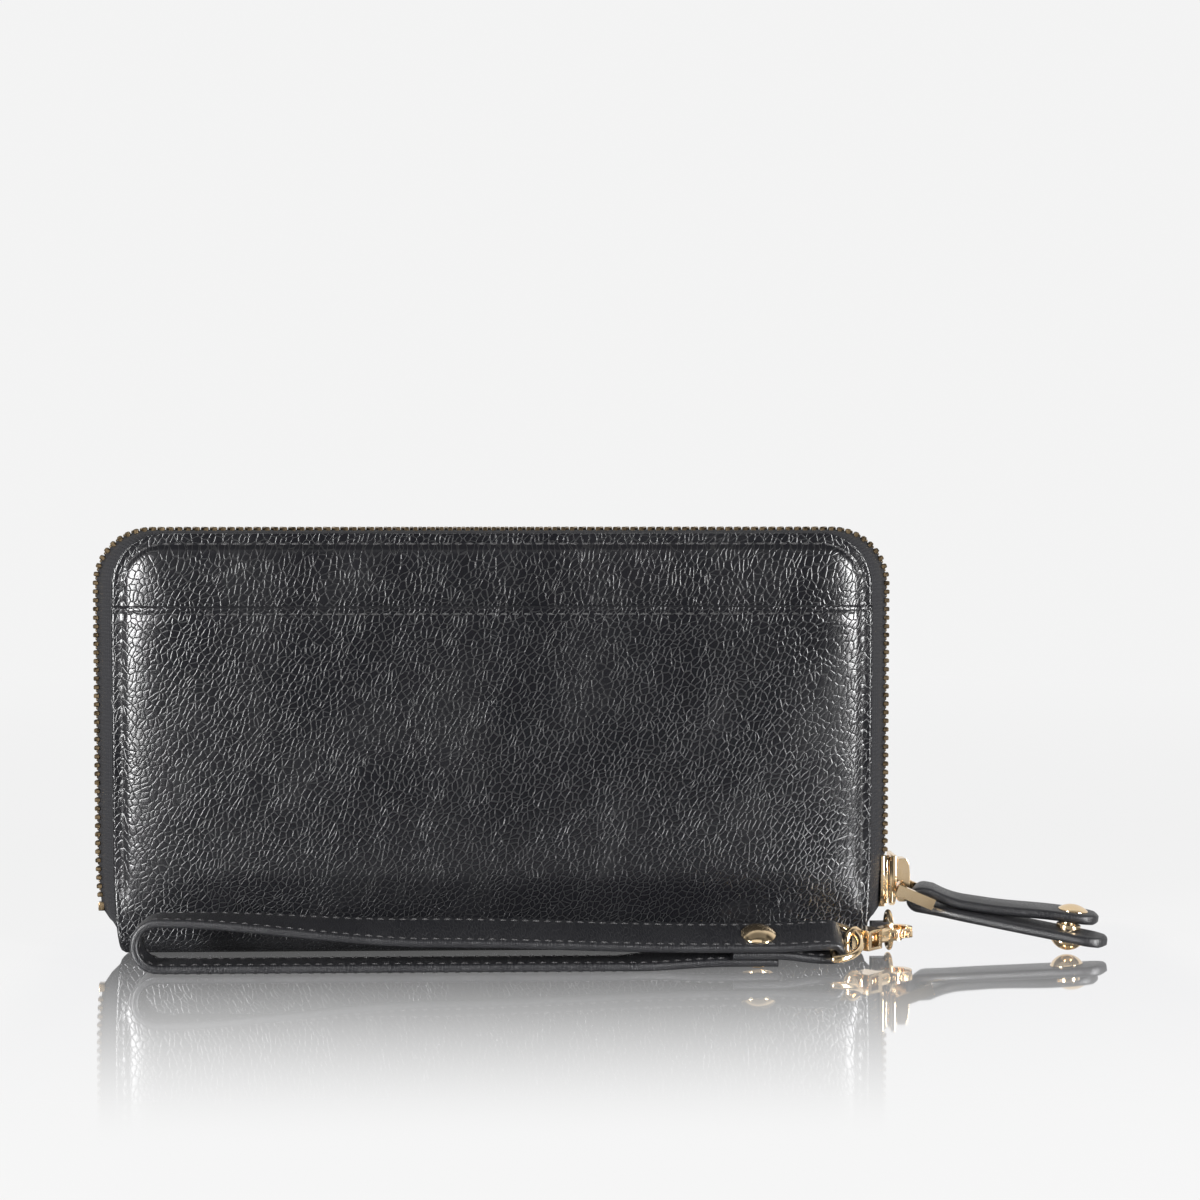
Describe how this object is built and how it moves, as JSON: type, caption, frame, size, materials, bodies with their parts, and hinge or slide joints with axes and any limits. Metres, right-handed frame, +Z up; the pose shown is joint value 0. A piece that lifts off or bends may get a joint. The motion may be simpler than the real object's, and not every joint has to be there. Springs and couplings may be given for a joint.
{
  "type": "zip around wallet",
  "caption": "Long zip around wallet in black pebbled leather, standing on its spine, with a slip pocket, a snap pull and a clip-on wrist strap.",
  "frame": {"origin": "middle of the flat underside of the spine, on which the wallet stands", "axes": "+X along the wallet towards the zip slider at rest, +Y from the slip-pocket face to the back, +Z up from the spine to the top zip"},
  "size_m": [0.2535, 0.0551, 0.1066],
  "materials": {
    "pebbled_leather": "satin",
    "smooth_leather": "satin",
    "board": "matte",
    "lining_cloth": "matte",
    "zip_tape": "matte",
    "antique_brass": "satin",
    "spring_steel": "satin",
    "pale_gold": "polished"
  },
  "bodies": {
    "root": {"front_cover_leather": "pebbled_leather", "slip_pocket_panel": "pebbled_leather", "front_cover_board": "board", "front_lining": "lining_cloth", "spine_leather": "pebbled_leather", "spine_board": "board", "zip_tape_front": "zip_tape", "zip_teeth_front": "antique_brass", "zip_bottom_stops": "antique_brass", "zip_end_tabs": "smooth_leather", "card_pockets_front": "smooth_leather", "gusset_left": "lining_cloth", "gusset_right": "lining_cloth", "ring_tab": "smooth_leather"},
    "back_half": {"back_cover_leather": "pebbled_leather", "back_cover_board": "board", "back_lining": "lining_cloth", "zip_tape_back": "zip_tape", "zip_teeth_back": "antique_brass", "card_pockets_back": "smooth_leather"},
    "coin_pocket": {"coin_pocket_front": "lining_cloth", "coin_pocket_back": "lining_cloth", "coin_pocket_base": "lining_cloth", "coin_zip_tape": "zip_tape", "coin_zip_teeth": "antique_brass", "coin_zip_stops": "antique_brass"},
    "coin_slider": {"coin_slider": "pale_gold"},
    "coin_puller": {"coin_puller": "pale_gold"},
    "slider": {"slider_body": "pale_gold", "slider_bridge": "pale_gold"},
    "pull_ring": {"pull_ring": "pale_gold"},
    "pull_tab": {"pull_leaf_lower": "smooth_leather", "snap_socket": "pale_gold", "snap_socket_cap": "pale_gold"},
    "pull_flap": {"pull_leaf_upper": "smooth_leather", "snap_stud": "pale_gold", "snap_stud_cap": "pale_gold"},
    "wallet_ring": {"wallet_ring": "pale_gold"},
    "clasp_hook": {"clasp_hook": "pale_gold", "clasp_gate_pin": "pale_gold", "clasp_swivel_pin": "pale_gold", "clasp_gate_spring": "spring_steel"},
    "clasp_gate": {"clasp_gate": "pale_gold"},
    "clasp_eye": {"clasp_eye": "pale_gold"},
    "strap_ring": {"strap_ring": "pale_gold"},
    "strap": {"wrist_strap": "smooth_leather", "strap_rivet_post": "pale_gold", "strap_rivet_cap": "pale_gold", "strap_rivet_back": "pale_gold"}
  },
  "joints": [
    {"name": "cover_open", "type": "hinge", "parent": "root", "child": "back_half", "pos_m": [0, 0.01355, 0.006], "axis": [-1, 0, 0], "range_deg": [0, 65], "deforming": ["gusset_left", "gusset_right"]},
    {"name": "coin_pocket_lean", "type": "hinge", "parent": "root", "child": "coin_pocket", "pos_m": [0, 0.00275, 0.003], "axis": [-1, 0, 0], "range_deg": [0, 32.5]},
    {"name": "coin_slider_travel", "type": "slide", "parent": "coin_pocket", "child": "coin_slider", "axis": [1, 0, 0], "range_m": [0, 0.14]},
    {"name": "coin_puller_swing", "type": "hinge", "parent": "coin_slider", "child": "coin_puller", "pos_m": [-0.0717, 0, 0.0881], "axis": [0, -1, 0], "range_deg": [0, 100]},
    {"name": "slider_travel", "type": "slide", "parent": "root", "child": "slider", "axis": [0, 0, 1], "range_m": [0, 0.066]},
    {"name": "pull_ring_swing", "type": "hinge", "parent": "slider", "child": "pull_ring", "pos_m": [0.1044, 0, 0.014], "axis": [-0.1392, -0.9903, 0], "range_deg": [0, 45]},
    {"name": "pull_tab_swing", "type": "hinge", "parent": "pull_ring", "child": "pull_tab", "pos_m": [0.11211, -0.00108, 0.01085], "axis": [-0.1392, -0.9903, 0], "range_deg": [0, 25]},
    {"name": "pull_flap_open", "type": "hinge", "parent": "pull_tab", "child": "pull_flap", "pos_m": [0.11211, -0.00108, 0.01085], "axis": [-0.3264, -0.9451, -0.0153], "range_deg": [0, 28]},
    {"name": "wallet_ring_turn", "type": "hinge", "parent": "root", "child": "wallet_ring", "pos_m": [0.0993, -0.01375, 0.0052], "axis": [-1, 0, 0], "range_deg": [0, 30]},
    {"name": "clasp_turn", "type": "hinge", "parent": "wallet_ring", "child": "clasp_hook", "pos_m": [0.0993, -0.01825, 0.0052], "axis": [0, 0, 1], "range_deg": [0, 30]},
    {"name": "clasp_gate_open", "type": "hinge", "parent": "clasp_hook", "child": "clasp_gate", "pos_m": [0.10015, -0.02136, 0.0052], "axis": [0, 0, 1], "range_deg": [0, 20], "stiffness_Nm_per_rad": 0.01, "springref_deg": -11.46},
    {"name": "clasp_swivel", "type": "hinge", "parent": "clasp_hook", "child": "clasp_eye", "pos_m": [0.09562, -0.02193, 0.0052], "axis": [0.7071, 0.7071, 0], "range_deg": [0, 90]},
    {"name": "strap_ring_turn", "type": "hinge", "parent": "clasp_eye", "child": "strap_ring", "pos_m": [0.08176, -0.03338, 0.0059], "axis": [0, 0, 1], "range_deg": [0, 35]},
    {"name": "strap_swing", "type": "hinge", "parent": "strap_ring", "child": "strap", "pos_m": [0.08176, -0.03338, 0.0059], "axis": [0, 1, 0], "range_deg": [0, 60]}
  ],
  "couplings": [
    {"joint": "coin_pocket_lean", "follows": "cover_open", "ratio": 0.5}
  ]
}
